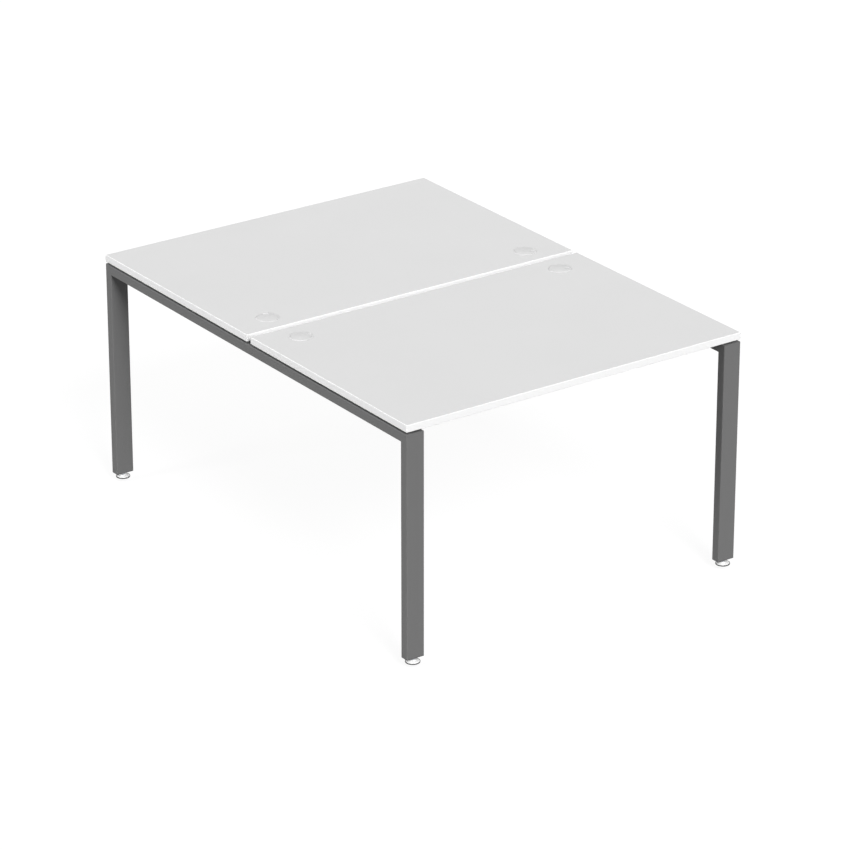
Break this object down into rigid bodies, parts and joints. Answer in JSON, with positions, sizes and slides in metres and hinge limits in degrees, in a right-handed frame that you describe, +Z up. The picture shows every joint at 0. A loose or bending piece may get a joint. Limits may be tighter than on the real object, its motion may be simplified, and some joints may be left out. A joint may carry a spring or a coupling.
{
  "type": "bench desk",
  "caption": "Face-to-face bench desk: white worktops with turning cable grommets on grey rectangular-tube end frames with cross beams and levelling feet.",
  "frame": {"origin": "on the floor, under the middle of the desk", "axes": "+X along the slot between the worktops, +Y from the front worktop to the rear one, +Z up"},
  "size_m": [1.2, 1.6344, 0.7518],
  "materials": {
    "melamine_board": "matt white melamine",
    "edge_strip": "satin white ABS",
    "frame_paint": "grey powder coat, fine orange peel",
    "grommet_plastic": "moulded light plastic",
    "plug_plastic": "moulded grey plastic",
    "spacer_plastic": "moulded black plastic",
    "zinc_steel": "bright zinc plate",
    "foot_plastic": "moulded white plastic",
    "sole_plastic": "moulded grey plastic"
  },
  "bodies": {
    "desk": {"front_top": "melamine_board", "front_top_front_edge": "edge_strip", "front_top_rear_edge": "edge_strip", "front_top_left_edge": "edge_strip", "front_top_right_edge": "edge_strip", "rear_top": "melamine_board", "rear_top_front_edge": "edge_strip", "rear_top_rear_edge": "edge_strip", "rear_top_left_edge": "edge_strip", "rear_top_right_edge": "edge_strip", "grommet_liner_left_front": "grommet_plastic", "left_front_leg": "frame_paint", "leg_plug_left_front": "plug_plastic", "grommet_liner_left_rear": "grommet_plastic", "left_rear_leg": "frame_paint", "leg_plug_left_rear": "plug_plastic", "grommet_liner_right_front": "grommet_plastic", "right_front_leg": "frame_paint", "leg_plug_right_front": "plug_plastic", "grommet_liner_right_rear": "grommet_plastic", "right_rear_leg": "frame_paint", "leg_plug_right_rear": "plug_plastic", "left_rail": "frame_paint", "right_rail": "frame_paint", "beam_front_outer": "frame_paint", "beam_front_inner": "frame_paint", "beam_rear_outer": "frame_paint", "beam_rear_inner": "frame_paint", "beam_end_plates": "frame_paint", "beam_bolts": "zinc_steel", "rail_rivet_nuts": "zinc_steel", "top_insert_nuts": "zinc_steel", "top_screws": "zinc_steel", "top_spacers": "spacer_plastic", "foot_nuts": "zinc_steel"},
    "stem_left_front": {"foot_stem_left_front": "zinc_steel"},
    "foot_left_front": {"foot_pad_left_front": "foot_plastic", "foot_sole_left_front": "sole_plastic"},
    "cap_left_front": {"grommet_cap_left_front": "grommet_plastic"},
    "stem_left_rear": {"foot_stem_left_rear": "zinc_steel"},
    "foot_left_rear": {"foot_pad_left_rear": "foot_plastic", "foot_sole_left_rear": "sole_plastic"},
    "cap_left_rear": {"grommet_cap_left_rear": "grommet_plastic"},
    "stem_right_front": {"foot_stem_right_front": "zinc_steel"},
    "foot_right_front": {"foot_pad_right_front": "foot_plastic", "foot_sole_right_front": "sole_plastic"},
    "cap_right_front": {"grommet_cap_right_front": "grommet_plastic"},
    "stem_right_rear": {"foot_stem_right_rear": "zinc_steel"},
    "foot_right_rear": {"foot_pad_right_rear": "foot_plastic", "foot_sole_right_rear": "sole_plastic"},
    "cap_right_rear": {"grommet_cap_right_rear": "grommet_plastic"}
  },
  "joints": [
    {"name": "level_left_front", "type": "slide", "parent": "desk", "child": "stem_left_front", "axis": [0, 0, -1], "range_m": [-0.003, 0.015]},
    {"name": "swivel_left_front", "type": "hinge", "parent": "stem_left_front", "child": "foot_left_front", "pos_m": [-0.57, -0.795, 0.0032], "axis": [0, 0, 1], "continuous": true},
    {"name": "turn_cap_left_front", "type": "hinge", "parent": "desk", "child": "cap_left_front", "pos_m": [-0.475, -0.09, 0.751], "axis": [0, 0, 1], "continuous": true},
    {"name": "level_left_rear", "type": "slide", "parent": "desk", "child": "stem_left_rear", "axis": [0, 0, -1], "range_m": [-0.003, 0.015]},
    {"name": "swivel_left_rear", "type": "hinge", "parent": "stem_left_rear", "child": "foot_left_rear", "pos_m": [-0.57, 0.795, 0.0032], "axis": [0, 0, 1], "continuous": true},
    {"name": "turn_cap_left_rear", "type": "hinge", "parent": "desk", "child": "cap_left_rear", "pos_m": [-0.475, 0.09, 0.751], "axis": [0, 0, 1], "continuous": true},
    {"name": "level_right_front", "type": "slide", "parent": "desk", "child": "stem_right_front", "axis": [0, 0, -1], "range_m": [-0.003, 0.015]},
    {"name": "swivel_right_front", "type": "hinge", "parent": "stem_right_front", "child": "foot_right_front", "pos_m": [0.57, -0.795, 0.0032], "axis": [0, 0, 1], "continuous": true},
    {"name": "turn_cap_right_front", "type": "hinge", "parent": "desk", "child": "cap_right_front", "pos_m": [0.475, -0.09, 0.751], "axis": [0, 0, 1], "continuous": true},
    {"name": "level_right_rear", "type": "slide", "parent": "desk", "child": "stem_right_rear", "axis": [0, 0, -1], "range_m": [-0.003, 0.015]},
    {"name": "swivel_right_rear", "type": "hinge", "parent": "stem_right_rear", "child": "foot_right_rear", "pos_m": [0.57, 0.795, 0.0032], "axis": [0, 0, 1], "continuous": true},
    {"name": "turn_cap_right_rear", "type": "hinge", "parent": "desk", "child": "cap_right_rear", "pos_m": [0.475, 0.09, 0.751], "axis": [0, 0, 1], "continuous": true}
  ]
}
